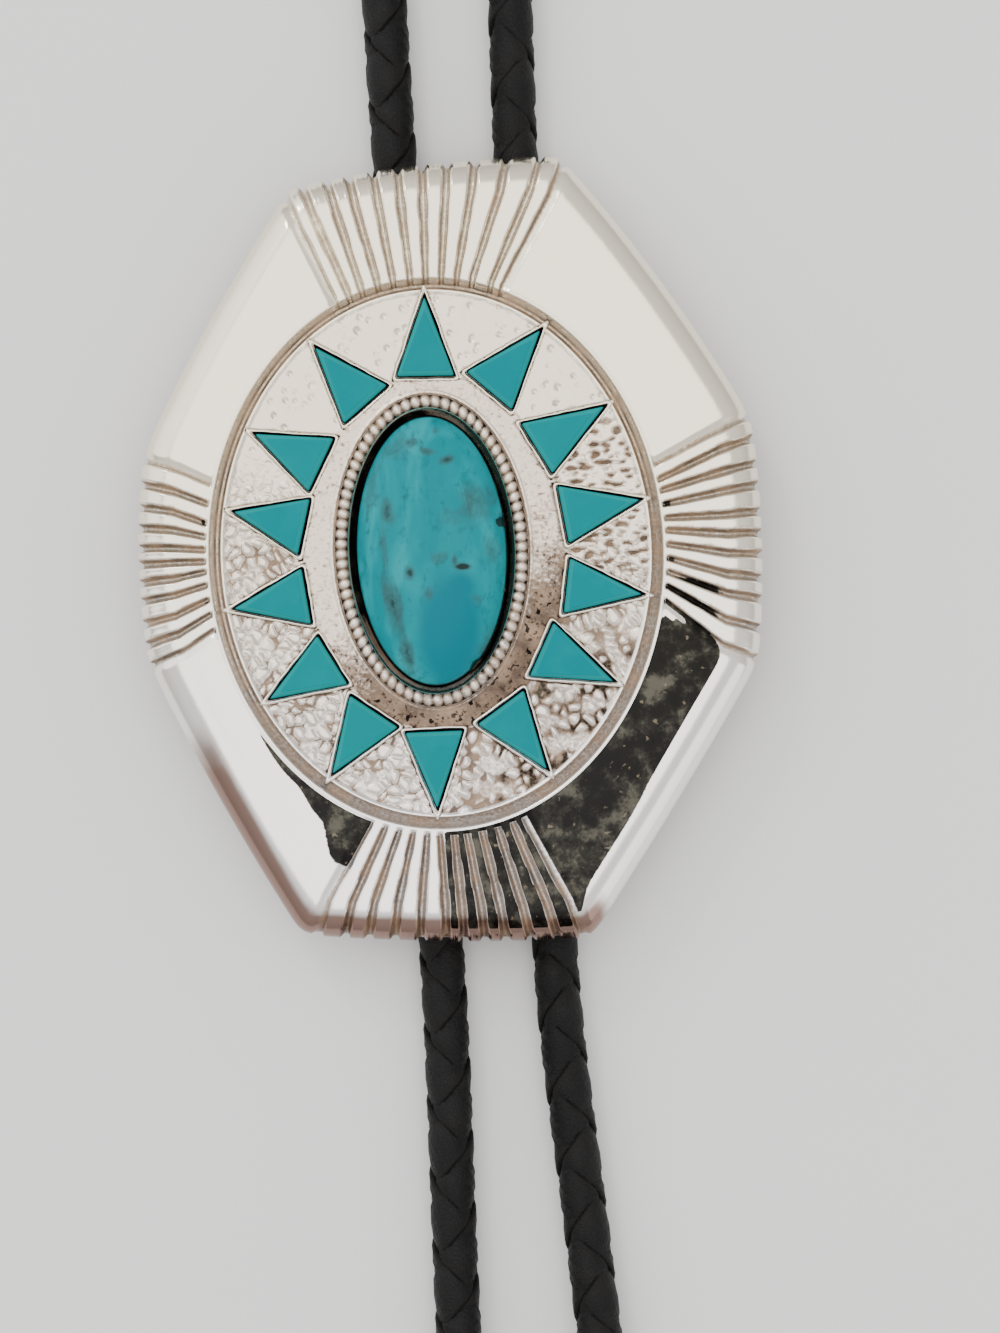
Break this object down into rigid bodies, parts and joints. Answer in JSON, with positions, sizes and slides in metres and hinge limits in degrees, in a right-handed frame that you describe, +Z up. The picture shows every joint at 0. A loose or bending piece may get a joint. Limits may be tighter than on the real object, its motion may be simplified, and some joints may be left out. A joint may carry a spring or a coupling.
{
  "type": "bolo tie with stone-set slide",
  "caption": "Bolo tie: fluted cast metal slide with an oval cabochon in a sunburst of triangular stone inlays, on a braided leather cord with metal tips.",
  "frame": {"origin": "on the surface the tie lies on, below the middle of the slide's outline", "axes": "+Z up out of the slide's face, +Y up the tie towards the neck loop, +X to the right seen from the front"},
  "size_m": [0.0628, 0.3123, 0.0132],
  "materials": {
    "cast_metal": "polished warm silver-coloured casting with brown patina in the recesses",
    "cabochon_stone": "polished turquoise with grey-brown matrix",
    "inlay_stone": "plain polished turquoise",
    "clip_steel": "plain stamped",
    "black_leather": "four-strand round braid",
    "tip_metal": "plain polished"
  },
  "bodies": {
    "root": {"slide_plate": "cast_metal", "cabochon": "cabochon_stone", "stone_01": "inlay_stone", "stone_02": "inlay_stone", "stone_03": "inlay_stone", "stone_04": "inlay_stone", "stone_05": "inlay_stone", "stone_06": "inlay_stone", "stone_07": "inlay_stone", "stone_08": "inlay_stone", "stone_09": "inlay_stone", "stone_10": "inlay_stone", "stone_11": "inlay_stone", "stone_12": "inlay_stone", "stone_13": "inlay_stone", "stone_14": "inlay_stone", "cord_clip": "clip_steel", "braided_cord": "black_leather", "tip_left": "tip_metal", "tip_right": "tip_metal"}
  },
  "joints": []
}
